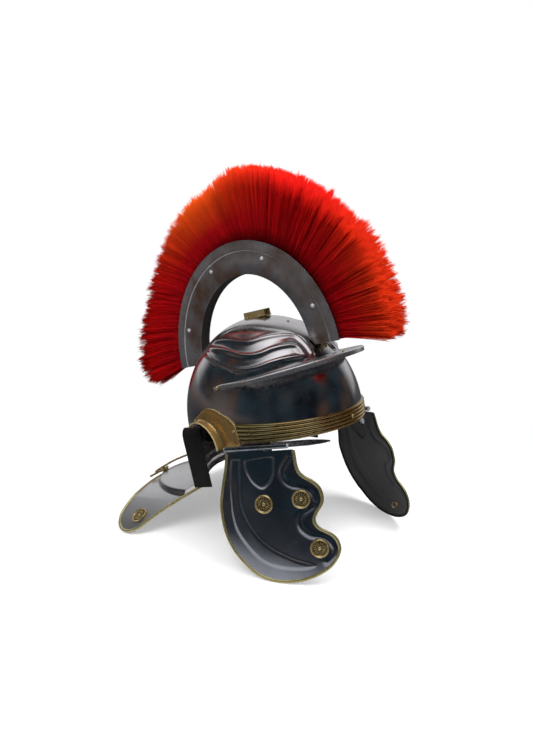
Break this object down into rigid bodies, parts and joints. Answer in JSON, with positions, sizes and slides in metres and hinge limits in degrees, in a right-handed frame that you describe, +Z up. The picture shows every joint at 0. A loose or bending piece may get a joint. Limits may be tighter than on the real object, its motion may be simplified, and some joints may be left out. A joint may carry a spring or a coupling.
{
  "type": "centurion helmet",
  "caption": "Steel helmet with embossed brows, brow guard, neck guard, hinged cheek guards, brass trim and a lift-off arched horsehair crest.",
  "frame": {"origin": "middle of the bounding box, on the floor that the cheek guards and the neck guard's lobes stand on", "axes": "+X to the wearer's left, -Y the face side, +Z up; the helmet leans back by about 17 degrees as it stands"},
  "size_m": [0.2998, 0.3997, 0.4563],
  "materials": {
    "bowl_steel": "polished, slightly brushed",
    "neck_steel": "polished, pale",
    "brow_guard_steel": "polished",
    "cheek_steel": "polished dark steel",
    "crest_steel": "gunmetal, satin",
    "crest_core_black": "blackened",
    "peg_steel": "dark",
    "horsehair_red": "dyed horsehair",
    "strap_leather": "black, satin",
    "liner_leather": "brown, matte",
    "bright_steel": "bright",
    "hinge_steel": "polished",
    "ear_brass": "polished, amber",
    "band_brass": "ribbed, aged",
    "edging_brass": "rolled strip",
    "wire_brass": "drawn wire",
    "trim_brass": "polished"
  },
  "bodies": {
    "helmet": {"skull_bowl": "bowl_steel", "neck_guard": "neck_steel", "neck_edging": "edging_brass", "neck_rosettes": "trim_brass", "brow_band": "band_brass", "brow_band_rivet": "trim_brass", "brow_guard": "brow_guard_steel", "brow_guard_rivets": "trim_brass", "ear_guard_right": "ear_brass", "ear_guard_left": "ear_brass", "ear_rivets_right": "trim_brass", "ear_rivets_left": "trim_brass", "crown_holder": "trim_brass", "crown_rivets": "trim_brass", "crest_hook_front": "trim_brass", "crest_hook_rear": "trim_brass", "hinge_leaf_right": "hinge_steel", "hinge_leaf_left": "hinge_steel", "hinge_pin_right": "bright_steel", "hinge_pin_left": "bright_steel", "leaf_tongue_right": "hinge_steel", "leaf_tongue_left": "hinge_steel", "handle_staples": "wire_brass", "liner_band": "liner_leather", "liner_rivets": "bright_steel", "chin_strap_right": "strap_leather", "chin_strap_left": "strap_leather"},
    "crest": {"crest_plate_right": "crest_steel", "crest_plate_left": "crest_steel", "crest_core": "crest_core_black", "crest_screws_right": "bright_steel", "crest_screws_left": "bright_steel", "crest_peg_front": "peg_steel", "crest_peg_rear": "peg_steel", "plume_1": "horsehair_red", "plume_2": "horsehair_red", "plume_3": "horsehair_red", "plume_4": "horsehair_red", "plume_5": "horsehair_red", "plume_6": "horsehair_red", "plume_7": "horsehair_red"},
    "cheek_right": {"cheek_guard_right": "cheek_steel", "cheek_edging_right": "edging_brass", "cheek_rosettes_right": "trim_brass", "tie_loop_right": "trim_brass"},
    "cheek_left": {"cheek_guard_left": "cheek_steel", "cheek_edging_left": "edging_brass", "cheek_rosettes_left": "trim_brass", "tie_loop_left": "trim_brass"},
    "handle": {"carry_handle": "wire_brass"}
  },
  "joints": [
    {"name": "cheek_hinge_right", "type": "hinge", "parent": "helmet", "child": "cheek_right", "pos_m": [-0.088, -0.1157, 0.15326], "axis": [0.3407, -0.9198, 0.1948], "range_deg": [0, 22]},
    {"name": "cheek_hinge_left", "type": "hinge", "parent": "helmet", "child": "cheek_left", "pos_m": [0.088, -0.1157, 0.15326], "axis": [0.3407, 0.9198, -0.1948], "range_deg": [0, 22]},
    {"name": "crest_lift", "type": "slide", "parent": "helmet", "child": "crest", "axis": [0, 0.2969, 0.9549], "range_m": [0, 0.12]},
    {"name": "handle_pivot", "type": "hinge", "parent": "helmet", "child": "handle", "pos_m": [0, 0.12636, 0.04596], "axis": [1, 0, 0], "range_deg": [0, 90]}
  ]
}
